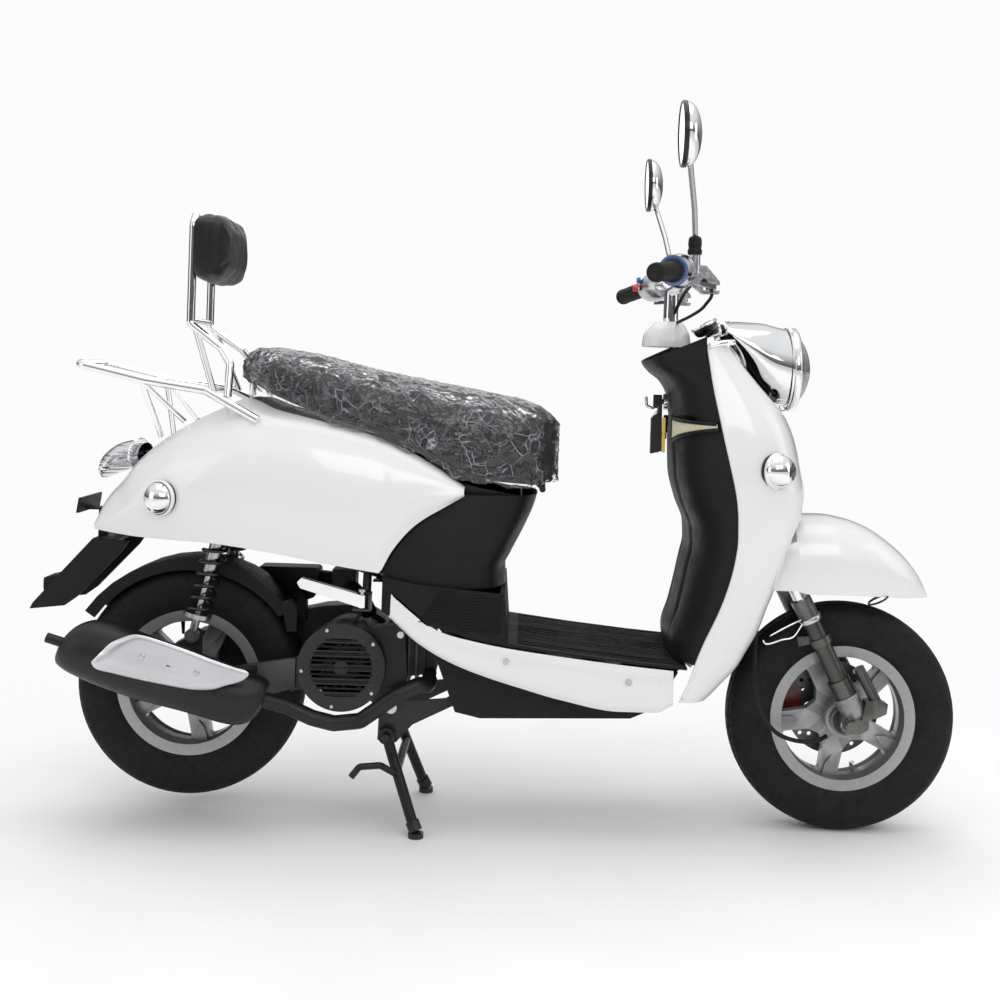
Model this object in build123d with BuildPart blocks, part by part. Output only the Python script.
# Step-through moped scooter on its centre stand: the front tyre and the two stand feet touch the
# ground (Z = 0) and the rear wheel hangs 29 mm clear of it.
# Frame: +X forwards, +Y to the rider's left, +Z up. All sizes in millimetres.
from build123d import *
import math
import os

os.makedirs("parts", exist_ok=True)

# ------------------------------------------------------------------ driving dimensions
# Places given as pairs are X, Z.
TYRE_R = 215.0
TYRE_HALF = 45.0
FRONT_WHEEL = (656.0, TYRE_R)
REAR_WHEEL = (-576.0, 244.0)
STEER = (330.0, 900.0)  # a point of the steering axis
RAKE = math.radians(26.9)
FORK_HALF = 72.0  # fork legs from the centre plane
CRANK = (-280.0, 300.0)
SWING = (-190.0, 222.0)  # engine hanger pivot
STAND = (-196.0, 172.0)  # centre-stand pivot
SHOCK_TOP = (-499.0, 596.0)
SHOCK_BOTTOM = (-559.0, 345.0)
SHOCK_Y = 93.0
SEAT_HINGE = (78.0, 628.0)
PEG_X, PEG_Y = -240.0, 167.5  # upright pin of the footpegs
FLOOR_HALF = 160.0
WALL = 3.0

# Radii of bars and pins, and the radial gaps round them
FRONT_AXLE_R = 8
REAR_AXLE_R = 9
FORK_TUBE_R = 13.5
STEM_R = 13
BAR_R = 11
LEVER_PIN_R = 3
PIVOT_R = 7  # engine hanger bolt and stand pivot
SHOCK_BOLT_R = 5
SHOCK_ROD_R = 6
PEG_PIN_R = 4
CLOSE_FIT = 0.06
RUNNING_FIT = 0.08
LOOSE_FIT = 0.3

SIDES = (-1, 1)  # right, left: the sign of Y
DOWN = (math.sin(RAKE), -math.cos(RAKE))  # X, Z direction down the steering axis
front_x, front_z = FRONT_WHEEL
rear_x, rear_z = REAR_WHEEL
crank_x, crank_z = CRANK


# ------------------------------------------------------------------ points and planes
def steer(down, ahead=0.0):
    """X, Z of a point so far down the steering axis and so far in front of it."""
    return (
        STEER[0] + DOWN[0] * down + math.cos(RAKE) * ahead,
        STEER[1] + DOWN[1] * down + math.sin(RAKE) * ahead,
    )


def polar(radius, degrees, x=0.0, z=0.0):
    """Point at a radius and angle about x, z."""
    angle = math.radians(degrees)
    return (x + radius * math.cos(angle), z + radius * math.sin(angle))


def lerp(table, x):
    """Value at x in a table of (x, value) rows, held constant beyond its ends."""
    if x <= table[0][0]:
        return table[0][1]
    for (x0, value0), (x1, value1) in zip(table, table[1:]):
        if x <= x1:
            return value0 + (value1 - value0) * (x - x0) / (x1 - x0)
    return table[-1][1]


def both_sides(left, middle=()):
    """Left-hand points (x, y, ...) joined to their mirror image, starting on the right."""
    right = [(x, -y, *rest) for x, y, *rest in left]
    return right + list(middle) + list(reversed(left))


def offset_points(points, distance):
    """The points moved to the left of their direction of travel."""
    moved = []
    last = len(points) - 1
    for i, (x, y) in enumerate(points):
        x0, y0 = points[max(i - 1, 0)]
        x1, y1 = points[min(i + 1, last)]
        span = math.hypot(x1 - x0, y1 - y0)
        moved.append((x - (y1 - y0) / span * distance, y + (x1 - x0) / span * distance))
    return moved


def side(y, x=0.0, z=0.0):
    """Plane facing the right-hand side: local x, y are X, Z, and it extrudes towards -Y."""
    return Plane(origin=(x, y, z), x_dir=(1, 0, 0), z_dir=(0, -1, 0))


def across(x, z=0.0):
    """Plane across the scooter: local x, y are Y, Z, and it extrudes forwards."""
    return Plane(origin=(x, 0, z), x_dir=(0, 1, 0), z_dir=(1, 0, 0))


def level(z, x=0.0, y=0.0):
    """Horizontal plane: local x, y are X, Y."""
    return Plane(origin=(x, y, z), x_dir=(1, 0, 0), z_dir=(0, 0, 1))


def on_steer(down, y=0.0):
    """Plane square to the steering axis; its normal points down the fork."""
    x, z = steer(down)
    return Plane(origin=(x, y, z), x_dir=(0, 1, 0), z_dir=(DOWN[0], 0, DOWN[1]))


# ------------------------------------------------------------------ solids
# Each helper makes its solid in a private builder; add() or cut() brings it into a piece.
def cylinder(plane, length, radius, bore=0.0):
    with BuildPart(mode=Mode.PRIVATE) as made:
        with BuildSketch(plane):
            Circle(radius)
            if bore > 0:
                Circle(bore, mode=Mode.SUBTRACT)
        extrude(amount=length)
    return made.part


def pin_y(x, z, y0, y1, radius, bore=0.0):
    """Cylinder along Y between two Y values."""
    return cylinder(side(max(y0, y1), x, z), abs(y1 - y0), radius, bore)


def post(x, y, z, height, radius):
    """Upright cylinder standing on x, y, z."""
    return cylinder(level(z, x, y), height, radius)


def along_steer(start, end, radius, y=0.0, bore=0.0):
    """Cylinder along the steering axis, or parallel to it at y."""
    return cylinder(on_steer(start, y), end - start, radius, bore)


def block(x, y, z, size_x, size_y, height):
    """Box centred on x, y, rising from z, or hanging from it if height is negative."""
    with BuildPart(mode=Mode.PRIVATE) as made:
        with BuildSketch(level(z, x, y)):
            Rectangle(size_x, size_y)
        extrude(amount=height)
    return made.part


def rod(points, radius, bend=0.0, bore=0.0):
    """Round bar, or tube, along points; bend is the radius of its corners."""
    with BuildPart(mode=Mode.PRIVATE) as made:
        with BuildLine() as path:
            if bend > 0 and len(points) > 2:
                FilletPolyline(*points, radius=bend)
            else:
                Polyline(*points)
        line = path.line
        with BuildSketch(Plane(origin=line @ 0, z_dir=line % 0)):
            Circle(radius)
            if bore > 0:
                Circle(bore, mode=Mode.SUBTRACT)
        sweep(path=line, transition=Transition.RIGHT if bend == 0 else Transition.TRANSFORMED)
    return made.part


def plate(points, y0, y1, corner=0.0):
    """Flat plate with an X, Z outline between two Y values."""
    with BuildPart(mode=Mode.PRIVATE) as made:
        with BuildSketch(side(max(y0, y1))) as outline:
            with BuildLine():
                Polyline(*points, close=True)
            make_face()
            if corner > 0:
                fillet(outline.vertices(), corner)
        extrude(amount=abs(y1 - y0))
    return made.part


def skin(sections, wall):
    """Thin lofted wall through (plane, outer points); the wall is to the left of the points."""
    with BuildPart(mode=Mode.PRIVATE) as made:
        for plane, outer in sections:
            inner = offset_points(outer, wall)
            with BuildSketch(plane):
                with BuildLine():
                    Spline(*outer)
                    Line(outer[-1], inner[-1])
                    Spline(*reversed(inner))
                    Line(inner[0], outer[0])
                make_face()
        loft()
    return made.part


def body_loft(sections):
    """Solid lofted through closed splines."""
    with BuildPart(mode=Mode.PRIVATE) as made:
        for plane, points in sections:
            with BuildSketch(plane):
                with BuildLine():
                    Spline(*points, periodic=True)
                make_face()
        loft()
    return made.part


def ellipse_loft(sections):
    """Solid lofted through ellipses given as (plane, local x radius, local y radius)."""
    with BuildPart(mode=Mode.PRIVATE) as made:
        for plane, x_radius, y_radius in sections:
            with BuildSketch(plane):
                Ellipse(x_radius, y_radius)
        loft()
    return made.part


def cut(part):
    """Take a solid away from the piece being built."""
    add(part, mode=Mode.SUBTRACT)


def keep(piece, name):
    """Write a finished piece to its STEP file."""
    piece.part.label = name
    export_step(piece.part, f"parts/{name}.step")


# ------------------------------------------------------------------ wheels
# Profiles are radius, Y.
RIM_PROFILE = [
    (116, -37), (139, -37), (140, -36), (139, -34.9), (127, -32.9), (125, -22),
    (119, -12), (119, 12), (125, 22), (127, 32.9), (139, 34.9), (140, 36), (139, 37),
    (116, 37), (121, 24), (114, 11), (114, -11), (121, -24),
]
TYRE_OUTER = [
    (140.5, -38.5), (152, -42), (172, -TYRE_HALF), (192, -43), (205, -33), (212.5, -17),
    (TYRE_R, 0),
    (212.5, 17), (205, 33), (192, 43), (172, TYRE_HALF), (152, 42), (140.5, 38.5),
]
TYRE_LEFT_BEAD = [(140.5, 38.5), (140.5, 34.3), (127.4, 32.2), (127.4, 24), (138, 29)]
TYRE_INNER = [
    (138, 29), (158, 36), (178, 37), (194, 30), (203, 14), (205, 0),
    (203, -14), (194, -30), (178, -37), (158, -36), (138, -29),
]
TYRE_RIGHT_BEAD = [(radius, -y) for radius, y in reversed(TYRE_LEFT_BEAD)]
SPOKES = 5
SPOKE_PITCH = 360 / SPOKES
SPOKE_HALF = 10  # half thickness of the spoke disc
PAD_HEIGHT = 6
OPENING = ((52, 0), (66, 19), (130, 28), (130, -28), (66, -19))  # radius, degrees
SPOKE_PAD = ((78, 0), (92, -9), (117, -12), (117, 12), (92, 9))  # along, across the spoke


def wheel_rim(x, z, first_spoke, hub_right, hub_left, hub_radius, bore):
    """Cast rim; first_spoke is in degrees, hub_right and hub_left are the Y of the hub ends."""
    with BuildPart() as rim:
        with BuildSketch(level(z, x)):
            with BuildLine():
                Polyline(*RIM_PROFILE, close=True)
            make_face()
        revolve(axis=Axis((x, 0, z), (0, 1, 0)))
        # spoke disc with an opening between each two spokes
        add(pin_y(x, z, -SPOKE_HALF, SPOKE_HALF, 115))
        for k in range(SPOKES):
            turn = first_spoke + SPOKE_PITCH * (k + 0.5)
            with BuildSketch(side(SPOKE_HALF + 1, x, z)) as opening:
                with BuildLine():
                    Polyline(*[polar(radius, turn + angle) for radius, angle in OPENING],
                             close=True)
                make_face()
                Circle(113, mode=Mode.INTERSECT)
                fillet(opening.vertices(), 5)
            extrude(amount=2 * SPOKE_HALF + 2, mode=Mode.SUBTRACT)
        # raised pads at the spoke ends, both faces
        for y in (SPOKE_HALF + PAD_HEIGHT, -SPOKE_HALF):
            for k in range(SPOKES):
                cosine, sine = polar(1, first_spoke + SPOKE_PITCH * k)
                pad = [(u * cosine - v * sine, u * sine + v * cosine) for u, v in SPOKE_PAD]
                with BuildSketch(side(y, x, z)):
                    with BuildLine():
                        Polyline(*pad, close=True)
                    make_face()
                extrude(amount=PAD_HEIGHT)
        add(pin_y(x, z, hub_right, hub_left, hub_radius))
        cut(pin_y(x, z, hub_right - 1, hub_left + 1, bore))
    return rim


def wheel_tyre(x, z):
    with BuildPart() as tyre:
        with BuildSketch(level(z, x)):
            with BuildLine():
                Spline(*TYRE_OUTER)
                Polyline(*TYRE_LEFT_BEAD)
                Spline(*TYRE_INNER)
                Polyline(*TYRE_RIGHT_BEAD)
            make_face()
        revolve(axis=Axis((x, 0, z), (0, 1, 0)))
    return tyre


with BuildPart() as front_rim:
    add(wheel_rim(*FRONT_WHEEL, first_spoke=44, hub_right=-44, hub_left=46, hub_radius=34,
                  bore=FRONT_AXLE_R + RUNNING_FIT).part)
    # thin bent stem inside the bottom of the rim
    add(rod([(front_x + 32, 0, front_z - 113.5), (front_x + 27, 0, front_z - 94),
             (front_x + 27, -14, front_z - 88)], 3.5))
keep(front_rim, "front_rim")
keep(wheel_tyre(*FRONT_WHEEL), "front_tyre")

with BuildPart() as brake_disc:
    with BuildSketch(side(51, *FRONT_WHEEL)):
        Circle(90)
        Circle(26, mode=Mode.SUBTRACT)
        with PolarLocations(80, 18):
            Circle(4, mode=Mode.SUBTRACT)
        with PolarLocations(68, 18, start_angle=10):
            Circle(4, mode=Mode.SUBTRACT)
        with PolarLocations(46, 6):
            Circle(9, mode=Mode.SUBTRACT)
    extrude(amount=4)
keep(brake_disc, "brake_disc")

rear_rim = wheel_rim(*REAR_WHEEL, first_spoke=65, hub_right=-40, hub_left=40, hub_radius=42,
                     bore=REAR_AXLE_R + RUNNING_FIT)
keep(rear_rim, "rear_rim")
keep(wheel_tyre(*REAR_WHEEL), "rear_tyre")

# ------------------------------------------------------------------ fork
# Lower yoke outline, square to the steering axis: Y, fore-and-aft
YOKE = [(-92, -16), (-60, -26), (60, -26), (92, -16), (92, 16), (60, 22), (-60, 22), (-92, 16)]

with BuildPart() as steering_stem:
    add(along_steer(-6, 338, STEM_R))
    # lower yoke, with two eyes for the fork tubes
    with BuildSketch(on_steer(330)):
        with BuildLine():
            Polyline(*YOKE, close=True)
        make_face()
        with Locations((-FORK_HALF, 0), (FORK_HALF, 0)):
            Circle(FORK_TUBE_R + 0.1, mode=Mode.SUBTRACT)
    extrude(amount=32)
keep(steering_stem, "steering_stem")

with BuildPart() as fork_tubes:
    for y in (-FORK_HALF, FORK_HALF):
        add(along_steer(322, 640, FORK_TUBE_R, y, bore=10))
keep(fork_tubes, "fork_tubes")

# Outline of the axle clamp: X, Z from the front axle
AXLE_CLAMP = [(-14, -12), (-14, 14), (2, 52), (34, 24), (36, -6), (20, -16)]
AXLE_HOLE_R = FRONT_AXLE_R + 0.15
CANISTER_FOOT = [(676, 226), (706, 232), (722, 240), (724, 258), (706, 266), (684, 262)]

with BuildPart() as fork_sliders:
    for hand in SIDES:
        y = hand * FORK_HALF
        add(along_steer(556, 742, 17, y))
        add(along_steer(512, 557, 19.5, y))
        add(along_steer(676, 752, 21, y))
        # axle clamp behind the leg
        add(plate([(front_x + x, front_z + z) for x, z in AXLE_CLAMP], y - 16, y + 16, 5))
    # hose and wire clip on the right-hand leg
    clip_x, clip_z = steer(597)
    add(along_steer(590, 604, 21, -FORK_HALF, bore=16))
    add(plate([(clip_x - 18, clip_z + 8), (clip_x - 44, clip_z + 6), (clip_x - 40, clip_z - 12),
               (clip_x - 18, clip_z - 6)], -FORK_HALF - 5, -FORK_HALF + 5))
    # canister in front of each leg
    for hand in SIDES:
        add(rod([(670, hand * 84, 322), (712, hand * 84, 246)], 10))
        add(plate(CANISTER_FOOT, hand * 94, hand * 68))
    cut(pin_y(*FRONT_WHEEL, -FORK_HALF - 30, FORK_HALF + 30, AXLE_HOLE_R))
    for y in (-FORK_HALF, FORK_HALF):
        cut(along_steer(500, 704, FORK_TUBE_R + CLOSE_FIT, y))
    # speedometer drive on the right-hand side of the hub
    add(pin_y(*FRONT_WHEEL, -46, -55.5, 27, bore=AXLE_HOLE_R))
    # axle through both sliders, with a collar at each end
    add(pin_y(*FRONT_WHEEL, -104, 104, FRONT_AXLE_R))
    add(pin_y(*FRONT_WHEEL, -107, -94, 11))
    add(pin_y(*FRONT_WHEEL, 94, 104, 11))
keep(fork_sliders, "fork_sliders")

# Caliper outlines: X, Z from the caliper centre
CALIPER_X, CALIPER_Z = front_x - 88, front_z + 14
CALIPER_BODY = [(-26, -34), (-26, 32), (6, 40), (26, 20), (24, -20), (4, -40)]
CALIPER_ARM = [(6, 14), (18, 40), (66, 60), (66, 40), (30, 16)]
CALIPER_COVER = [(-10, -30), (-10, 28), (18, 14), (18, -18)]


def caliper_plate(outline, y0, y1, corner=0.0):
    return plate([(CALIPER_X + x, CALIPER_Z + z) for x, z in outline], y0, y1, corner)


with BuildPart() as brake_caliper:
    add(caliper_plate(CALIPER_BODY, 38, 72, 6))
    # slot round the brake disc
    cut(pin_y(*FRONT_WHEEL, 44, 58, 94))
    add(caliper_plate(CALIPER_ARM, 59, 67))
    add(caliper_plate(CALIPER_COVER, 59, 80, 5))
    # room for the left fork leg
    cut(along_steer(480, 770, 21.6, FORK_HALF))
keep(brake_caliper, "brake_caliper")

# Front mudguard: a deep hood over the wheel. Tables are X and a value.
FENDER_TOP = [(548, 589), (571, 594.5), (610, 595), (654, 588.5), (694, 574.5), (735, 549),
              (771, 517.6), (794, 488), (812, 455)]
FENDER_HALF = [(548, 104), (610, 103), (654, 98), (700, 88), (740, 75), (775, 58), (800, 38),
               (812, 24)]
FENDER_LOW = [(548, 462), (571, 457), (635, 457), (700, 454), (760, 450), (812, 446)]
# Section from edge to crown: fractions of the half width and of the height
FENDER_ARCH = [(1, 0), (1, 0.28), (0.94, 0.58), (0.74, 0.84), (0.40, 0.965)]
# Left skirt section: Y, Z
SKIRT = [(104, 462), (104, 497.6), (97.8, 538), (94.8, 537), (101, 497.2), (101, 462)]

fender_sections = []
for x in (548, 590, 640, 690, 735, 770, 795, 812):
    top, width, low = lerp(FENDER_TOP, x), lerp(FENDER_HALF, x), lerp(FENDER_LOW, x)
    left = [(width * out, low + up * (top - low)) for out, up in FENDER_ARCH]
    right = [(-y, z) for y, z in left]
    fender_sections.append((across(x), right + [(0, top)] + left[::-1]))
with BuildPart() as front_fender:
    add(skin(fender_sections, -WALL))
    # skirts that carry the sides back to the leg shield
    for hand in SIDES:
        with BuildPart(mode=Mode.PRIVATE) as skirt:
            with BuildSketch(across(496)):
                with BuildLine():
                    Polyline(*[(hand * y, z) for y, z in SKIRT], close=True)
                make_face()
            extrude(amount=57)
            add(plate([(553, 462), (553, 538), (526, 536), (508, 500), (497, 462)], -120, 120),
                mode=Mode.INTERSECT)
        add(skirt.part)
keep(front_fender, "front_fender")

# ------------------------------------------------------------------ handlebar and controls
# Left half of the bar from its tip inwards: X, Y, Z
BAR_LEFT = [(249, 340, 1019), (288, 232, 1032), (322, 170, 1034), (320, 80, 1016)]
BAR = both_sides(BAR_LEFT, [(314, 0, 1012)])
BAR_BEND = 22
PERCH_Y = 200
LEVER_X, LEVER_Y = 360, 193  # lever pivot
LEVER_Z = 1006
STARTER_Y, STARTER_Z, STARTER_R = -214, 1036, 6
HORN_Y, HORN_Z, HORN_R = 214, 1030, 7
POCKET_GAP = 0.4

with BuildPart() as handlebar:
    add(rod(BAR, BAR_R, BAR_BEND))
    add(rod([(steer(-8)[0], 0, steer(-8)[1]), (steer(-30)[0], 0, steer(-30)[1]),
             (313, 0, 960), (313.5, 0, 1013)], 14, 10))
keep(handlebar, "handlebar")


def bar_point(y):
    """A point of the straight grip stretch at lateral position y (signed)."""
    end_x, end_y, end_z = BAR_LEFT[0]
    bend_x, bend_y, bend_z = BAR_LEFT[1]
    share = (abs(y) - bend_y) / (end_y - bend_y)
    return (bend_x + (end_x - bend_x) * share, y, bend_z + (end_z - bend_z) * share)


for hand, name, gap in ((-1, "throttle_grip", RUNNING_FIT), (1, "left_grip", LOOSE_FIT)):
    with BuildPart() as grip:
        add(rod([bar_point(hand * 348), bar_point(hand * 236)], 16, bore=BAR_R + gap))
        # outer and inner collars
        add(rod([bar_point(hand * 344), bar_point(hand * 340.5)], 19, bore=BAR_R + LOOSE_FIT))
        add(rod([bar_point(hand * 240), bar_point(hand * 236)], 20, bore=BAR_R + LOOSE_FIT))
    keep(grip, name)

# Housing stations: X, Y, Z, half length in X, half height
HOUSING = ((318, 186, 1033, 19, 22), (301, 210, 1033, 28, 31), (292, 225, 1032, 24, 27))
PERCH = [(318, 1046), (318, 1016), (344, 995), (374, 995), (374, 1017), (350, 1044)]

with BuildPart() as control_housings:
    for hand in SIDES:
        add(ellipse_loft([
            (Plane(origin=(x, hand * y, z), x_dir=(1, 0, 0), z_dir=(0, hand, 0)), length, height)
            for x, y, z, length, height in HOUSING
        ]))
        # mirror boss
        add(rod([(329, hand * PERCH_Y, 1030), (329, hand * PERCH_Y, 1062)], 10))
        # lever perch
        add(plate(PERCH, hand * 184, hand * 206, 3))
    cut(rod(BAR, BAR_R + LOOSE_FIT, BAR_BEND))
    for hand in SIDES:
        # slot for the lever, then its pivot pin across the slot
        cut(block(366, hand * PERCH_Y, 1001, 42, 60, 10))
        add(post(LEVER_X, hand * LEVER_Y, 999, 14, LEVER_PIN_R))
    # pockets that the buttons are pressed into
    cut(rod([(250, STARTER_Y, STARTER_Z), (271, STARTER_Y, STARTER_Z)], STARTER_R + POCKET_GAP))
    cut(rod([(250, HORN_Y, HORN_Z), (271, HORN_Y, HORN_Z)], HORN_R + POCKET_GAP))
keep(control_housings, "control_housings")

for hand, name in ((-1, "front_brake_lever"), (1, "rear_brake_lever")):
    with BuildPart() as lever:
        with BuildLine() as path:
            Spline((LEVER_X, hand * LEVER_Y, LEVER_Z), (361, hand * 216, LEVER_Z),
                   (338, hand * 270, LEVER_Z), (318, hand * 322, LEVER_Z))
        with BuildSketch(Plane(origin=path.line @ 0, z_dir=path.line % 0)):
            Rectangle(11, 7.0)
        sweep(path=path.line)
        add(post(LEVER_X, hand * LEVER_Y, LEVER_Z - 3.5, 7, 9))
        cut(post(LEVER_X, hand * LEVER_Y, 990, 40, LEVER_PIN_R + CLOSE_FIT))
        # trimmed above and below, so that it fits its slot
        cut(block(350, hand * PERCH_Y, LEVER_Z + 4, 60, 60, 30))
        cut(block(350, hand * PERCH_Y, LEVER_Z - 4, 60, 60, -30))
    keep(lever, name)

with BuildPart() as starter_button:
    add(rod([(257, STARTER_Y, STARTER_Z), (267, STARTER_Y, STARTER_Z)], STARTER_R))
keep(starter_button, "starter_button")
with BuildPart() as horn_button:
    add(rod([(257, HORN_Y, HORN_Z), (267, HORN_Y, HORN_Z)], HORN_R))
keep(horn_button, "horn_button")

with BuildPart() as mirror_arms:
    for hand in SIDES:
        foot = (329, hand * PERCH_Y, 1062.3)
        add(rod([foot, (329, hand * PERCH_Y, 1096), (322, hand * 232, 1140),
                 (306, hand * 284, 1208), (303, hand * 290, 1236)], 5, 18))
        add(rod([foot, (329, hand * PERCH_Y, 1090)], 9))
        # cross pin that the head tilts on
        add(pin_y(303, 1236, hand * 284, hand * 296, 6.5))
keep(mirror_arms, "mirror_arms")

# Mirror shell stations: distance forwards, half width, half height
MIRROR_SHELL = ((0, 50, 56), (14, 44, 50), (26, 28, 34), (32, 10, 12))
for hand, name in ((-1, "mirror_head_right"), (1, "mirror_head_left")):
    plane = Plane(origin=(290, hand * 300, 1256), x_dir=(0, 1, 0), z_dir=(1, 0, 0))
    with BuildPart() as head:
        add(ellipse_loft([(plane.offset(ahead), width, height)
                          for ahead, width, height in MIRROR_SHELL]))
        with BuildSketch(plane.offset(-4)):
            Ellipse(51, 57)
        extrude(amount=6)
        # pocket for the end of the arm
        cut(rod([(309, hand * 274, 1190), (303.5, hand * 289, 1222), (303, hand * 290, 1243)], 12))
    keep(head, name)

# ------------------------------------------------------------------ frame
MAIN_TUBE = [(452, 0, 640), (410, 0, 560), (390, 0, 420), (342, 0, 298), (230, 0, 276)]
MAIN_BEND = 50
HEAD_TOP, HEAD_BOTTOM = 122, 306  # head tube ends, down the steering axis
BEARING_DEPTH = 14
HANGER_PLATE = [(0, 284), (-50, 264), (-90, 240), (-150, 234), (-212, 236), (-214, 160),
                (-180, 156), (-150, 190), (-80, 225), (0, 270)]
SHOCK_BRACKET = [(-470, 616), (-528, 620), (-516, 586), (-499, 576), (-482, 586)]

with BuildPart() as frame_tubes:
    add(rod(MAIN_TUBE, 19, MAIN_BEND))
    add(along_steer(HEAD_TOP, HEAD_BOTTOM, 26))
    for hand in SIDES:
        # side tube from the main tube to the tail
        add(rod([(250, 0, 276), (200, hand * 80, 274), (-10, hand * 80, 280),
                 (-50, hand * 98, 330), (-170, hand * 118, 470), (-330, hand * 118, 572),
                 (-400, hand * 68, 608), (-660, hand * 60, 628)], 13, 28))
        # hanger and stand plate
        add(plate(HANGER_PLATE, hand * 74, hand * 80))
        # shock top bracket
        add(plate(SHOCK_BRACKET, hand * 70, hand * 78, 3))
        # footpeg bracket
        add(rod([(-236, hand * 118, 512), (-236, hand * 134, 440), (-236, hand * 155, 432)], 8, 8))
        add(plate([(-224, 416), (-224, 444), (-250, 448), (-250, 420)],
                  hand * 152, hand * 158, 3))
        add(plate([(-224, 419), (-224, 442), (-228, 443), (-228, 419)], hand * 152, hand * 176))
        add(plate([(-224, 414), (-224, 418), (-256, 418), (-256, 414)], hand * 152, hand * 176))
    # cross tubes
    add(rod([(100, -80, 275), (100, 80, 275)], 10))
    add(rod([(-341, -112, 578), (-341, 112, 578)], 9))
    add(rod([(-640, -60, 627), (-640, 60, 627)], 9))
    cut(along_steer(110, 320, 16))
    # bearing cups at the two ends of the head tube
    for start in (HEAD_TOP, HEAD_BOTTOM - BEARING_DEPTH):
        add(along_steer(start, start + BEARING_DEPTH, 20, bore=STEM_R + CLOSE_FIT))
    for hand in SIDES:
        for place, radius in ((SWING, PIVOT_R + 0.15), (STAND, PIVOT_R + RUNNING_FIT),
                              (SHOCK_TOP, SHOCK_BOLT_R + 0.1)):
            cut(pin_y(*place, hand * 60 - 40, hand * 60 + 40, radius))
keep(frame_tubes, "frame_tubes")

# ------------------------------------------------------------------ leg shield and front
# Tables are Z and a value: X of the front line, X of the rear edge, half width.
SHIELD_FRONT = [
    (268, 392), (301, 424), (324, 447), (358, 467), (388, 483), (432, 498), (466, 510),
    (518, 526), (565, 542), (605, 556), (643, 560), (681, 553), (720, 545), (750, 536),
    (788, 517), (812, 496), (841, 469), (881, 434), (908, 409),
]
SHIELD_REAR = [
    (268, 330), (301, 345), (351, 361), (383, 373), (420, 389), (468, 406), (518, 418),
    (562, 423), (603, 422), (643, 417), (687, 407), (736, 395), (776, 386), (832, 374),
    (879, 367), (908, 363),
]
SHIELD_HALF = [(268, 172), (350, 182), (450, 194), (560, 202), (650, 204), (740, 198),
               (820, 184), (908, 160)]
# Section from rear edge to front line: fractions of the depth and of the half width
SHIELD_BOW = [(0, 1), (0.42, 0.975), (0.76, 0.86), (0.93, 0.62), (0.985, 0.3)]
# Wheel and mudguard arch: Y, Z
WHEEL_ARCH = [(-113, 200), (-113, 560), (-78, 612), (-66, 617), (0, 620), (66, 617), (78, 612),
              (113, 560), (113, 200)]
LAMP_SEAT = [(376, 915), (376, 888), (470, 806), (560, 750), (700, 760), (700, 960), (380, 960)]

shield_sections = []
for z in (272, 330, 400, 480, 560, 640, 720, 790, 850, 904):
    front, rear, width = lerp(SHIELD_FRONT, z), lerp(SHIELD_REAR, z), lerp(SHIELD_HALF, z)
    left = [(rear + ahead * (front - rear), out * width) for ahead, out in SHIELD_BOW]
    shield_sections.append((level(z), both_sides(left, [(front, 0)])))

# The shield filled in solid, only used to trim the indicators
with BuildPart() as shield_block:
    for plane, points in shield_sections:
        with BuildSketch(plane):
            with BuildLine():
                Spline(*points)
                Line(points[-1], points[0])
            make_face()
    loft()

with BuildPart() as leg_shield:
    add(skin(shield_sections, WALL))
    with BuildSketch(across(300)):
        with BuildLine():
            Polyline(*WHEEL_ARCH, close=True)
        make_face()
    extrude(amount=300, mode=Mode.SUBTRACT)
    # seat for the headlamp shell
    cut(plate(LAMP_SEAT, -93, 93))
keep(leg_shield, "leg_shield")

# Z and X of the centre line that faces the rider
INNER_LINE = [
    (330, 322), (365, 315), (410, 329), (504, 348), (533, 355), (567, 354), (617, 331),
    (673, 319), (729, 318), (785, 318), (814, 312), (841, 296), (856, 272), (873, 256),
    (930, 252),
]
inner_sections = []
for z in (338, 410, 480, 550, 620, 690, 760, 815, 850, 880, 932):
    centre = lerp(INNER_LINE, z)
    edge = lerp(SHIELD_REAR, z) - 1.5
    width = lerp(SHIELD_HALF, z) - 6
    depth = edge - centre
    left = [(edge, width), (edge - 0.35 * depth, 0.90 * width),
            (centre + 0.20 * depth, 0.66 * width), (centre + 0.04 * depth, 0.34 * width)]
    inner_sections.append((level(z), both_sides(left, [(centre, 0)])))
with BuildPart() as inner_shield:
    add(skin(inner_sections, -WALL))
    # sloping top edge
    cut(plate([(240, 867), (420, 948), (420, 1000), (240, 1000)], -300, 300))
    # glove pocket mouths either side of the lock
    for hand in SIDES:
        cut(plate([(290, 742), (290, 778), (420, 786), (420, 772)],
                  hand * 110 - 70, hand * 110 + 70))
keep(inner_shield, "inner_shield")

# Headlamp shell stations: X, Z, half width, half height
NACELLE_OUTER = ((545, 868, 77, 74), (500, 880, 84, 72), (455, 906, 88, 50), (412, 934, 84, 22))
NACELLE_INNER = ((549, 868, 72, 69), (500, 880, 80, 68), (455, 906, 84, 46), (416, 934, 80, 18))
with BuildPart() as headlight_nacelle:
    add(ellipse_loft([(across(x, z), width, height) for x, z, width, height in NACELLE_OUTER]))
    cut(ellipse_loft([(across(x, z), width, height) for x, z, width, height in NACELLE_INNER]))
    # speedometer case at the back edge
    with BuildSketch(Plane(origin=(378, 0, 946), x_dir=(0, 1, 0), z_dir=(-0.5, 0, 0.866))):
        Ellipse(42, 22)
    extrude(amount=-16)
    add(plate([(392, 944), (392, 930), (420, 934), (420, 948)], -30, 30))
keep(headlight_nacelle, "headlight_nacelle")

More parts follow.
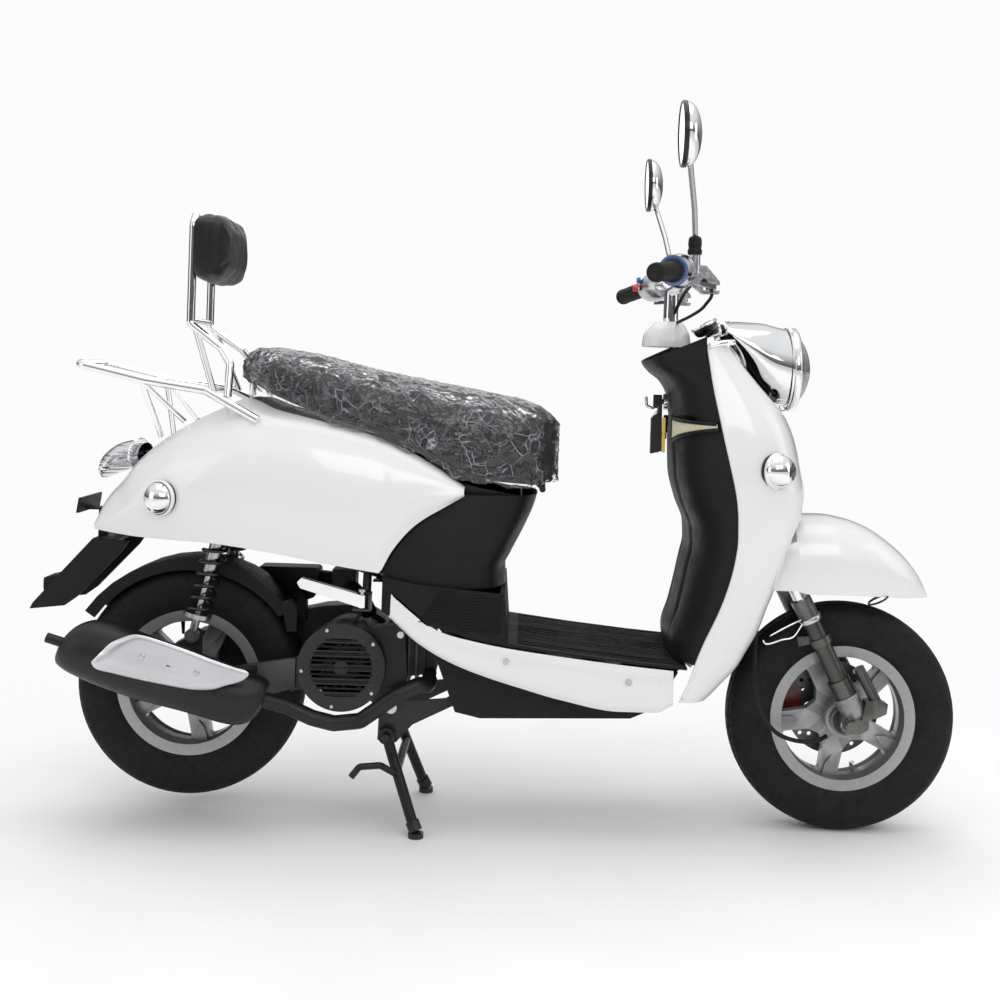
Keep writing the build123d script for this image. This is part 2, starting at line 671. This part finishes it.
LENS_X, LENS_Z = 546, 868
with BuildPart() as headlight_lens:
    with BuildSketch(side(0, LENS_X, LENS_Z)):
        with BuildLine():
            Spline((0, 71), (18, 58), (28, 36), (33, 0))
            Line((33, 0), (29, 0))
            Spline((29, 0), (24, 34), (14, 55), (0, 66))
            Line((0, 66), (0, 71))
        make_face()
    revolve(axis=Axis((LENS_X, 0, LENS_Z), (1, 0, 0)))
keep(headlight_lens, "headlight_lens")


def dome(origin, direction, radius, height):
    """Rounded lamp housing standing on a point, on a short cylindrical base."""
    rim = 6
    with BuildPart(mode=Mode.PRIVATE) as made:
        base = Plane(origin=origin, z_dir=direction)
        with BuildSketch(base):
            Circle(radius)
        extrude(amount=rim)
        with BuildSketch(base.offset(rim)):
            Circle(radius * 0.94)
        with BuildSketch(base.offset(rim + height * 0.5)):
            Circle(radius * 0.8)
        with BuildSketch(base.offset(rim + height)):
            Circle(radius * 0.3)
        loft()
    return made.part


with BuildPart() as indicators:
    for hand in SIDES:
        add(dome((481, hand * 182, 687), (0.62, hand * 0.78, 0), 31, 34))
        add(dome((-612, hand * 136, 600), (-0.45, hand * 0.89, 0), 31, 26))
    cut(shield_block.part)
    cut(leg_shield.part)
keep(indicators, "indicators")

COWL_X, COWL_Z = 306, 890
with BuildPart() as stem_cowl:
    with BuildSketch(side(0, COWL_X, COWL_Z)):
        with BuildLine():
            Spline((46, 14), (45, 30), (39, 48), (28, 62))
            Line((28, 62), (28, 58.5))
            Spline((28, 58.5), (36.5, 46), (42, 29), (43, 14))
            Line((43, 14), (46, 14))
        make_face()
    revolve(axis=Axis((COWL_X, 0, COWL_Z), (0, 0, 1)))
keep(stem_cowl, "stem_cowl")

LOCK_X, LOCK_Z = 311, 800
lock_plane = Plane(origin=(LOCK_X, 0, LOCK_Z), x_dir=(0, 1, 0), z_dir=(-1, 0, 0))
with BuildPart() as ignition_lock:
    add(cylinder(lock_plane, 7, 15, bore=5.3))
    # bag hook
    add(rod([(LOCK_X, 12, LOCK_Z), (308.5, 34, LOCK_Z), (296, 36, 796), (288, 36, 786),
             (276, 36, 790), (274, 36, 808)], 3, 2.5))
keep(ignition_lock, "ignition_lock")
with BuildPart() as ignition_key:
    add(cylinder(lock_plane.offset(1), 9, 5))
    with BuildSketch(lock_plane.offset(10)):
        SlotOverall(26, 12, rotation=90)
    extrude(amount=16)
    # hanging tag
    add(plate([(296, 796), (301, 796), (303, 706), (281, 700), (281, 768), (293, 778)],
              -9, 3, 2))
keep(ignition_key, "ignition_key")

# ------------------------------------------------------------------ floor
FLOOR_TOP = [(-206, 470), (-150, 424), (-102, 388), (-40, 372), (19, 361.5), (139, 347),
             (259, 335), (344, 328.5)]
FLOOR_THICK = 5
FLOOR_SIDE = [(-206, 474), (-206, 412), (-192, 405), (-102, 384), (-40, 368), (19, 358),
              (14, 449), (-145, 462)]
RIB = [(40, 358), (330, 329), (330, 331), (300, 333.8), (139, 349), (40, 361)]
RIB_COUNT = 15
RIB_PITCH = 20

with BuildPart() as footboard:
    tread = [(-60, 376.5)] + FLOOR_TOP[3:]
    add(plate(tread + [(x, z - FLOOR_THICK) for x, z in reversed(tread)],
              -FLOOR_HALF, FLOOR_HALF))
    # side walls and riser below the seat cover
    for hand in SIDES:
        add(plate(FLOOR_SIDE, hand * 157, hand * FLOOR_HALF))
    add(plate([(6, 358), (22, 358), (14, 449), (6, 450)], -158, 158))
    for i in range(RIB_COUNT):
        y = (i - (RIB_COUNT - 1) / 2) * RIB_PITCH
        add(plate(RIB, y - 2, y + 2))
    cut(rod(MAIN_TUBE, 20.5, MAIN_BEND))
keep(footboard, "footboard")

SILL_LOW = [(-192, 404), (-140, 359), (-80, 325), (-19, 302), (46, 283), (118, 264), (226, 246),
            (290, 246), (322, 262)]
with BuildPart() as sill_panels:
    sill_top = [(x, lerp(FLOOR_TOP, x) - 8) for x in (322, 259, 139, 19)]
    for hand in SIDES:
        add(plate(SILL_LOW + sill_top + [(-102, 378), (-188, 404)], hand * 157, hand * 160.5))
keep(sill_panels, "sill_panels")

BELLY_LOW = [(-112, 330), (-71, 224), (-25, 214), (249, 222), (290, 240)]
BELLY_PAN = BELLY_LOW + [(334, 308), (330, 308), (286, 243.5), (248, 225.5), (-24, 217.5),
                         (-68, 227), (-108, 330)]
BELLY_SIDE = BELLY_LOW + [(300, 256), (226, 250), (118, 268), (46, 288), (-19, 307), (-80, 330)]
with BuildPart() as belly_cover:
    add(plate(BELLY_PAN, -112, 112))
    add(plate(BELLY_SIDE, 108, 112))
    add(plate(BELLY_SIDE, -108, -112))
    # opening for the stand and hanger plates
    cut(plate([(-130, 200), (-130, 340), (-50, 340), (-50, 200)], -100, 100))
    cut(rod(MAIN_TUBE, 21, MAIN_BEND))
keep(belly_cover, "belly_cover")

# Cover below the front of the seat. Tables are Z and X, or Z and half width.
COVER_FRONT = [(452, 14), (486, 12), (511, 22.6), (557, 45), (603, 64), (622, 69)]
COVER_BACK = [(453, -205), (480, -205), (521, -186), (567, -147), (603, -92), (622, -62)]
COVER_HALF = [(453, 150), (520, 146), (622, 128)]
cover_sections = []
for z in (453, 486, 520, 560, 600, 622):
    front, back, width = lerp(COVER_FRONT, z), lerp(COVER_BACK, z), lerp(COVER_HALF, z)
    left = [(back, width), (back + 0.5 * (front - back), width * 0.98),
            (front - 30, width * 0.84), (front - 6, width * 0.5)]
    cover_sections.append((level(z), both_sides(left, [(front, 0)])))
with BuildPart() as under_seat_cover:
    add(skin(cover_sections, WALL))
keep(under_seat_cover, "under_seat_cover")

# ------------------------------------------------------------------ rear bodywork
# Tables are X and a value: Z of an edge or half width.
SEAT_LOW = [(-488, 832), (-466, 814), (-416, 788), (-333, 757), (-245, 731), (-141, 691),
            (-80, 658), (-40, 646), (10, 643), (62, 640), (104, 652)]
COWL_BOTTOM = [(-752, 530), (-728, 530), (-653, 525.5), (-551, 525), (-407, 511.5),
               (-321, 497), (-212, 480)]
COWL_FRONT = [(-212, 480), (-191, 521), (-152, 567), (-97, 603), (-66, 622)]
COWL_TOP = [(-752, 545), (-737, 581), (-704, 620), (-674, 660), (-627, 700), (-581, 730),
            (-523, 760), (-468, 782), (-416, 765), (-333, 747), (-245, 726.5), (-158, 691),
            (-81, 645), (-66, 634)]
COWL_HALF = [(-752, 66), (-700, 92), (-640, 120), (-560, 148), (-450, 166), (-330, 170),
             (-200, 164), (-120, 152), (-66, 138)]
# Half width at the top edge
COWL_INNER = [(-752, 40), (-700, 54), (-600, 62), (-500, 70), (-440, 92), (-400, 112),
              (-333, 122), (-66, 122)]

cowl_sections = []
for x in (-752, -715, -670, -610, -540, -460, -380, -300, -240, -212, -160, -110, -66):
    low = lerp(COWL_BOTTOM, x) if x < -212 else lerp(COWL_FRONT, x)
    top, width, inner = lerp(COWL_TOP, x), lerp(COWL_HALF, x), lerp(COWL_INNER, x)
    rise = top - low
    cowl_sections.append((across(x), [
        (-width * 0.95, low),
        (-width, low + 0.25 * rise),
        (-width * 0.985, low + 0.5 * rise),
        (-width + 0.28 * (width - inner), low + 0.74 * rise),
        (-width + 0.62 * (width - inner), low + 0.90 * rise),
        (-inner, top),
    ]))
with BuildPart() as side_cowls:
    for plane, points in cowl_sections:
        with BuildSketch(plane):
            with BuildLine():
                Polyline(*(points + list(reversed(offset_points(points, -WALL)))), close=True)
            make_face()
    loft(ruled=True)
    # trimmed just under the seat
    cut(plate([(x, z + 3) for x, z in SEAT_LOW[:8]] + [(-40, 900), (-488, 900)], -220, 220))
    mirror(about=Plane.XZ)
keep(side_cowls, "side_cowls")

tail_sections = []
for x in (-748, -700, -640, -580, -520, -470):
    top, width = lerp(COWL_TOP, x) + 2, lerp(COWL_INNER, x) - 5
    tail_sections.append((across(x), [
        (-width, top - 1.5), (-width * 0.5, top + 1.5), (0, top + 3),
        (width * 0.5, top + 1.5), (width, top - 1.5),
    ]))
with BuildPart() as tail_cowl:
    add(skin(tail_sections, -WALL))
keep(tail_cowl, "tail_cowl")

# Tail lamp stations: X, Z, half width, half height
TAIL_LAMP = ((-690, 672, 64, 26), (-725, 662, 62, 28), (-752, 646, 50, 24), (-764, 634, 22, 10))
with BuildPart() as tail_lamp:
    add(ellipse_loft([(across(x, z), width, height) for x, z, width, height in TAIL_LAMP]))
    cut(tail_cowl.part)
keep(tail_lamp, "tail_lamp")

FLAP = [(-757, 514), (-690, 510), (-704, 489), (-783, 404), (-806, 387), (-871, 379),
        (-866, 390), (-812, 452)]
FLAP_HOLLOW = [(-754, 508), (-680, 520), (-700, 480), (-783, 395), (-806, 380), (-840, 370),
               (-858, 386), (-808, 448)]
with BuildPart() as rear_mudguard:
    add(plate(FLAP, -62, 62))
    cut(plate(FLAP_HOLLOW, -57, 57))
    add(plate([(-757, 514), (-754, 508), (-716, 506), (-714, 512)], -60, 60))
    # reflector boss
    add(plate([(-858, 432), (-824, 440), (-834, 412), (-858, 408)], -28, 28))
    # stem up to the number plate bracket
    add(plate([(-762, 506), (-752, 510), (-752, 566), (-785, 566), (-785, 562), (-762, 562)],
              -16, 16))
    add(plate([(-790, 560), (-786, 588), (-781, 588), (-785, 560)], -62, 62))
    with BuildSketch(Plane(origin=(-788, 0, 574), x_dir=(0, 1, 0), z_dir=(-1, 0, 0))):
        with Locations((-50, 0), (50, 0)):
            Circle(3.2)
    extrude(amount=30, both=True, mode=Mode.SUBTRACT)
keep(rear_mudguard, "rear_mudguard")

# ------------------------------------------------------------------ carrier and backrest
# Left halves of the hoops: X, Y, Z
CARRIER_HOOP = [(-442, 136, 746), (-512, 116, 780), (-545, 106, 796), (-661, 90, 811),
                (-786, 74, 837), (-790, 60, 838)]
BACKREST_HOOP = [(-503, 114, 786), (-502, 104, 846), (-522, 92, 874), (-584, 75, 918),
                 (-584, 75, 1104), (-584, 58, 1122)]
with BuildPart() as carrier_rack:
    add(rod(both_sides(CARRIER_HOOP), 8, 12))
    add(rod([(-661, -90, 811), (-661, 90, 811)], 6))
    add(rod([(-545, -106, 796), (-545, 106, 796)], 6))
    for hand in SIDES:
        add(rod([(-669, hand * 88, 812), (-596, hand * 50, 736)], 5))
        add(rod([(-669, hand * 88, 812), (-640, hand * 44, 706)], 5))
    add(rod(both_sides(BACKREST_HOOP), 7.5, 12))
    for hand in SIDES:
        add(rod([(-574, hand * 77, 910), (-530, hand * 108, 794)], 6))
    add(rod([(-584, -75, 925), (-584, 75, 925)], 5))
keep(carrier_rack, "carrier_rack")

with BuildPart() as backrest_pad:
    with BuildSketch(across(-575.5, 1061)):
        RectangleRounded(250, 144, 40)
    extrude(amount=54)
    fillet(backrest_pad.edges().group_by(Axis.X)[-1], 14)
keep(backrest_pad, "backrest_pad")

# ------------------------------------------------------------------ seat
SEAT_TOP = [(-488, 850), (-470, 868), (-448, 875), (-417, 874), (-356, 865.6), (-294, 851),
            (-189, 830), (-81, 812), (3, 797), (60, 783), (90, 765), (108, 740)]
SEAT_HALF = [(-488, 70), (-460, 106), (-400, 128), (-300, 134), (-200, 134), (-80, 134),
             (10, 124), (62, 104), (104, 66)]
# Left half section from the bottom up: fractions of the half width and of the height
SEAT_BULGE = [(0.75, 0), (0.98, 0.18), (1, 0.5), (0.86, 0.84), (0.45, 0.98)]
PAN_THICK = 5

with BuildPart() as seat_pan:
    low_edge = SEAT_LOW[1:-1]
    add(plate(low_edge + [(x, z + PAN_THICK) for x, z in reversed(low_edge)], -84, 84))
    # hinge pin and the web that joins it to the pan
    add(pin_y(*SEAT_HINGE, -30, 30, 6))
    add(plate([(73, 628), (83, 628), (83, 645.5), (60, 644.5), (60, 640)], -30, 30))
keep(seat_pan, "seat_pan")

seat_sections = []
for x in (-484, -455, -400, -300, -190, -80, 10, 62, 100):
    low, top, width = lerp(SEAT_LOW, x) - 2, lerp(SEAT_TOP, x), lerp(SEAT_HALF, x)
    left = [(width * out, low + up * (top - low)) for out, up in SEAT_BULGE]
    right = [(-y, z) for y, z in reversed(left)]
    seat_sections.append((across(x), [(0, low)] + left + [(0, top)] + right))
with BuildPart() as seat_cushion:
    add(body_loft(seat_sections))
    # underside cut to lie just above the pan
    cut(plate([(-600, 820)] + [(x, z + PAN_THICK + 0.6) for x, z in SEAT_LOW]
              + [(200, 700), (200, 500), (-600, 500)], -250, 250))
keep(seat_cushion, "seat_cushion")

# ------------------------------------------------------------------ inside the body
with BuildPart() as fuel_tank:
    add(plate([(-604, 646), (-596, 690), (-540, 722), (-352, 732), (-352, 646)], -70, 70, 10))
    add(post(-400, 0, 728, 14, 24))
keep(fuel_tank, "fuel_tank")

BUCKET_OUTER = [(-330, 730), (-246, 714), (-150, 676), (-84, 644), (-40, 633), (40, 620),
                (8, 520), (-20, 490), (-330, 500)]
BUCKET_INNER = [(-327, 760), (-246, 760), (40, 660), (36.5, 617), (5, 523), (-22, 493),
                (-327, 503)]
with BuildPart() as storage_bucket:
    add(plate(BUCKET_OUTER, -98, 98))
    cut(plate(BUCKET_INNER, -98 + WALL, 98 - WALL))
keep(storage_bucket, "storage_bucket")

BATTERY_Z, BATTERY_HEIGHT = 284, 54
with BuildPart() as battery:
    add(block(40, 0, BATTERY_Z, 110, 66, BATTERY_HEIGHT))
    for y in (-18, 18):
        add(block(4, y, BATTERY_Z + BATTERY_HEIGHT, 12, 12, 6))
keep(battery, "battery")

# ------------------------------------------------------------------ power unit
# It swings with the rear wheel.
FIN_COUNT = 6
FIN_PITCH = 14
VARIATOR_CASE = [
    (crank_x + 78, crank_z), (crank_x + 60, crank_z + 56), (crank_x + 10, crank_z + 84),
    (crank_x - 60, crank_z + 78), (rear_x - 10, rear_z + 76), (rear_x - 62, rear_z + 46),
    (rear_x - 76, rear_z), (rear_x - 60, rear_z - 48), (rear_x, rear_z - 74),
    (crank_x - 60, crank_z - 84), (crank_x + 20, crank_z - 78), (crank_x + 62, crank_z - 50),
]
DAMPER_LUG = [(rear_x - 2, rear_z + 66), (rear_x + 40, rear_z + 66), (rear_x + 28, rear_z + 110),
              (rear_x + 8, rear_z + 112)]
HANGER_LUG = [(-250, 250), (-236, 232), (-204, 208), (-178, 208), (-176, 236), (-196, 262),
              (-220, 280)]
SUPPORT_ARM = [
    (-370, 250), (-370, 306), (-420, 298), (rear_x + 30, rear_z + 30),
    (rear_x + 30, rear_z + 106), (rear_x + 17, rear_z + 114), (rear_x + 4, rear_z + 106),
    (rear_x - 6, rear_z + 60), (rear_x - 20, rear_z), (rear_x, rear_z - 20),
    (rear_x + 40, rear_z - 10), (-420, 236),
]
with BuildPart() as engine_case:
    add(pin_y(*CRANK, -66, 62, 70))
    # barrel and head, nearly level, with fins
    add(plate([(-230, 262), (-222, 352), (-118, 364), (-110, 280)], -50, 50, 6))
    for i in range(FIN_COUNT):
        x = -206 + i * FIN_PITCH
        add(plate([(x, 262), (x + 1, 372), (x + 5, 373), (x + 4, 261)], -60, 60))
    # variator case on the left, and the upright lug at its rear
    add(plate(VARIATOR_CASE, 64, 120))
    add(plate(DAMPER_LUG, 102, 109))
    for hand in SIDES:
        add(plate(HANGER_LUG, hand * 46, hand * 66, 4))
    cut(pin_y(*SWING, -80, 80, PIVOT_R + RUNNING_FIT))
    # output shaft that carries the wheel, and the right-hand support arm
    add(pin_y(*REAR_WHEEL, 66, -92, REAR_AXLE_R))
    add(pin_y(*REAR_WHEEL, -81, -90, 15))
    add(plate([(crank_x - 30, crank_z - 40), (crank_x - 30, crank_z + 40), (-380, 300),
               (-380, 240)], -67.5, -50))
    add(plate(SUPPORT_ARM, -80, -66))
    # exhaust port
    add(rod([(-122, -45, 280), (-122, -63, 272)], 12))
    # lower damper bolts
    add(pin_y(*SHOCK_BOTTOM, -66, -101, 4.2))
    add(pin_y(*SHOCK_BOTTOM, -101, -105, 8))
    add(pin_y(*SHOCK_BOTTOM, 82, 109, 4.2))
keep(engine_case, "engine_case")

with BuildPart() as fan_shroud:
    add(pin_y(*CRANK, -68.5, -120.5, 80))
    cut(pin_y(*CRANK, -60, -117, 72))
    # grille slots
    with BuildSketch(side(-114, *CRANK)):
        with GridLocations(0, 8.4, 1, 13):
            Rectangle(116, 5)
        Circle(56, mode=Mode.INTERSECT)
    extrude(amount=10, mode=Mode.SUBTRACT)
    add(pin_y(*CRANK, -117, -121, 13))
    # cylinder cowl, hollowed, then the fan space cleared again
    add(plate([(crank_x + 50, crank_z - 36), (crank_x + 50, crank_z + 70), (-168, 380),
               (-160, 258)], -68.5, -100))
    cut(plate([(crank_x + 40, crank_z - 32), (crank_x + 40, crank_z + 66), (-172, 376),
               (-164, 262)], -60, -97))
    cut(pin_y(*CRANK, -60, -117, 72))
keep(fan_shroud, "fan_shroud")

with BuildPart() as cooling_fan:
    add(pin_y(*CRANK, -72, -75, 62))
    with BuildSketch(side(-74, *CRANK)):
        with PolarLocations(46, 14):
            Rectangle(26, 2.4, rotation=28)
    extrude(amount=32)
    add(pin_y(*CRANK, -74, -108, 18))
keep(cooling_fan, "cooling_fan")

# Muffler stations: X, Z, half width, half height
MUFFLER = ((-410, 252, 22, 22), (-446, 246, 42, 48), (-510, 263, 48, 52), (-580, 283, 50, 55),
           (-650, 303, 51, 57), (-716, 325, 50, 56), (-756, 330, 42, 44), (-782, 322, 18, 18))
MUFFLER_Y = -150
HEADER_PIPE = [(-122, -65.5, 271), (-123, -86, 266), (-138, -112, 272), (-176, -121, 254),
               (-242, -121, 205), (-290, -121, 199), (-330, -121, 208), (-376, -128, 230),
               (-430, -146, 248)]


def muffler_loft(stations, wall=0):
    """The muffler body through its stations, shrunk by the wall."""
    return ellipse_loft([
        (Plane(origin=(x, MUFFLER_Y, z), x_dir=(0, 1, 0), z_dir=(-0.96, 0, 0.28)),
         width - wall, height - wall)
        for x, z, width, height in stations
    ])


with BuildPart() as exhaust:
    add(muffler_loft(MUFFLER))
    cut(muffler_loft(MUFFLER[1:-1], wall=3))
    add(rod(HEADER_PIPE, 14.5, 20))
    add(rod([(-768, MUFFLER_Y, 334), (-806, MUFFLER_Y, 345)], 9))
    # bracket to the support arm
    add(plate([(-470, 258), (-440, 258), (-440, 290), (-470, 290)], -118, -81))
keep(exhaust, "exhaust")

HEAT_SHIELD = [(-707, 316), (-675, 349), (-632, 366), (-598, 360), (-531, 339), (-463, 316),
               (-430, 304), (-445, 291), (-495, 275), (-530, 274), (-630, 290), (-703, 308)]
with BuildPart() as heat_shield:
    add(plate(HEAT_SHIELD, -203.5, -207, 4))
    for x, z in ((-618, 329), (-521, 304)):
        add(pin_y(x, z, -207, -211, 7))
keep(heat_shield, "heat_shield")


def hugger_arc(radius):
    return [polar(radius, angle, *REAR_WHEEL) for angle in range(38, 152, 9)]


HUGGER_R = 236
HUGGER_TAB = [(-372, 352), (-372, 392), (-384, 410), (-402, 404), (-390, 352)]
with BuildPart() as rear_hugger:
    add(plate(hugger_arc(HUGGER_R) + hugger_arc(HUGGER_R - 3.5)[::-1], -50, 50))
    for hand in SIDES:
        add(plate(hugger_arc(HUGGER_R) + hugger_arc(HUGGER_R - 22)[::-1], hand * 47, hand * 50))
    add(plate(HUGGER_TAB, 46, 63.4))
    add(plate(HUGGER_TAB, -46, -65))
keep(rear_hugger, "rear_hugger")

with BuildPart() as air_filter_box:
    add(plate([(-480, 352), (-360, 394), (-352, 452), (-470, 452), (-492, 420)], 66, 116, 8))
    # pipe forwards to the cylinder, with a square block on it
    add(rod([(-356, 92, 430), (-300, 60, 430), (-262, 20, 404), (-244, 0, 379)], 15, 20))
    add(block(-300, 60, 406, 46, 46, 48))
keep(air_filter_box, "air_filter_box")

with BuildPart() as kick_lever:
    add(pin_y(-340, 246, 121, 146, 12))
    add(rod([(-340, 138, 246), (-420, 140, 236), (-486, 140, 254)], 8, 20))
    add(rod([(-486, 134, 254), (-486, 196, 254)], 9))
keep(kick_lever, "kick_lever")

# ------------------------------------------------------------------ rear dampers
SHOCK_LENGTH = math.dist(SHOCK_TOP, SHOCK_BOTTOM)
SHOCK_DX = (SHOCK_BOTTOM[0] - SHOCK_TOP[0]) / SHOCK_LENGTH
SHOCK_DZ = (SHOCK_BOTTOM[1] - SHOCK_TOP[1]) / SHOCK_LENGTH
SHOCK_SEAT_R = 26  # spring seats
SHOCK_EYE_R = 13
COIL_START, COIL_END = 34.0, SHOCK_LENGTH - 48.0  # down from the top eye
COIL_TURNS = 8.0


def on_shock(down, y):
    """Plane square to the damper, so far down from its top eye."""
    return Plane(origin=(SHOCK_TOP[0] + SHOCK_DX * down, y, SHOCK_TOP[1] + SHOCK_DZ * down),
                 x_dir=(0, 1, 0), z_dir=(SHOCK_DX, 0, SHOCK_DZ))


def shock_rod(start, end, radius, y):
    return cylinder(on_shock(start, y), end - start, radius)


with BuildPart() as shock_bodies:
    for hand in SIDES:
        y = hand * SHOCK_Y
        add(shock_rod(12, 138, 13, y))
        add(shock_rod(22, 30, SHOCK_SEAT_R, y))
        add(pin_y(*SHOCK_TOP, y - 11, y + 11, SHOCK_EYE_R))
        cut(shock_rod(44, 200, SHOCK_ROD_R + CLOSE_FIT, y))
        cut(pin_y(*SHOCK_TOP, y - 15, y + 15, SHOCK_BOLT_R + CLOSE_FIT))
keep(shock_bodies, "shock_bodies")

with BuildPart() as shock_rods:
    for hand in SIDES:
        y = hand * SHOCK_Y
        add(shock_rod(102, SHOCK_LENGTH - 10, SHOCK_ROD_R, y))
        add(shock_rod(SHOCK_LENGTH - 44, SHOCK_LENGTH - 36, SHOCK_SEAT_R, y))
        add(shock_rod(SHOCK_LENGTH - 36, SHOCK_LENGTH - 10, 7.5, y))
        add(pin_y(*SHOCK_BOTTOM, y - 6, y + 6, SHOCK_EYE_R))
        cut(pin_y(*SHOCK_BOTTOM, y - 15, y + 15, 7.2))
keep(shock_rods, "shock_rods")

with BuildPart() as shock_springs:
    coil_height = COIL_END - COIL_START
    for hand in SIDES:
        base = on_shock(COIL_START, hand * SHOCK_Y)
        with BuildLine() as coil:
            Helix(pitch=coil_height / COIL_TURNS, height=coil_height, radius=21,
                  center=base.origin, direction=base.z_dir)
        with BuildSketch(Plane(origin=coil.line @ 0, z_dir=coil.line % 0)):
            Circle(3.4)
        sweep(path=coil.line, is_frenet=True)
keep(shock_springs, "shock_springs")

# ------------------------------------------------------------------ centre stand, pegs, bolts
stand_x, stand_z = STAND
with BuildPart() as centre_stand:
    for hand in SIDES:
        add(pin_y(*STAND, hand * 81, hand * 100, 15))
        add(rod([(stand_x, hand * 91, stand_z), (stand_x + 14, hand * 98, stand_z - 40),
                 (-139, hand * 128, 20)], 10, 20))
        add(rod([(-142, hand * 126, 28), (-134, hand * 131, 11.5)], 12.5))
        # flat foot pad
        add(post(-134, hand * 131, 0, 9, 14))
    # cross bar and pivot bar
    add(pin_y(stand_x + 22, stand_z - 60, -100, 100, 8))
    add(pin_y(*STAND, -112, 112, PIVOT_R))
    # foot tang
    add(rod([(-172, -106, 104), (-200, -150, 134), (-237, -156, 132), (-251, -158, 114)], 6, 10))
    # nothing below the ground
    cut(block(0, 0, 0, 2000, 2000, -60))
keep(centre_stand, "centre_stand")

PEG_OUTLINE = [(-240, 420), (-240, 442), (-262, 448), (-348, 470), (-356, 462), (-350, 452),
               (-262, 426)]
for hand, name in ((-1, "peg_right"), (1, "peg_left")):
    with BuildPart() as peg:
        add(plate(PEG_OUTLINE, hand * 159, hand * 176, 3))
        # round nose about the pivot
        add(post(PEG_X, hand * PEG_Y, 420, 22, 8.4))
        cut(post(PEG_X, hand * PEG_Y, 410, 60, PEG_PIN_R + CLOSE_FIT))
    keep(peg, name)

with BuildPart() as body_bolts:
    for hand in SIDES:
        # sill panel screws
        for x, z in ((-170, 372), (20, 330), (240, 300)):
            add(pin_y(x, z, hand * 161, hand * 164.5, 6))
        # upper damper bolt and its head
        add(pin_y(*SHOCK_TOP, hand * 66, hand * 112, SHOCK_BOLT_R))
        add(pin_y(*SHOCK_TOP, hand * 105, hand * 112, 9))
        # footpeg pin and its head
        add(post(PEG_X, hand * PEG_Y, 418.2, 34, PEG_PIN_R))
        add(post(PEG_X, hand * PEG_Y, 448, 4, 7))
    # engine hanger bolt with a head at each end
    add(pin_y(*SWING, -88, 88, PIVOT_R))
    for hand in SIDES:
        add(pin_y(*SWING, hand * 81, hand * 88, 11))
keep(body_bolts, "body_bolts")
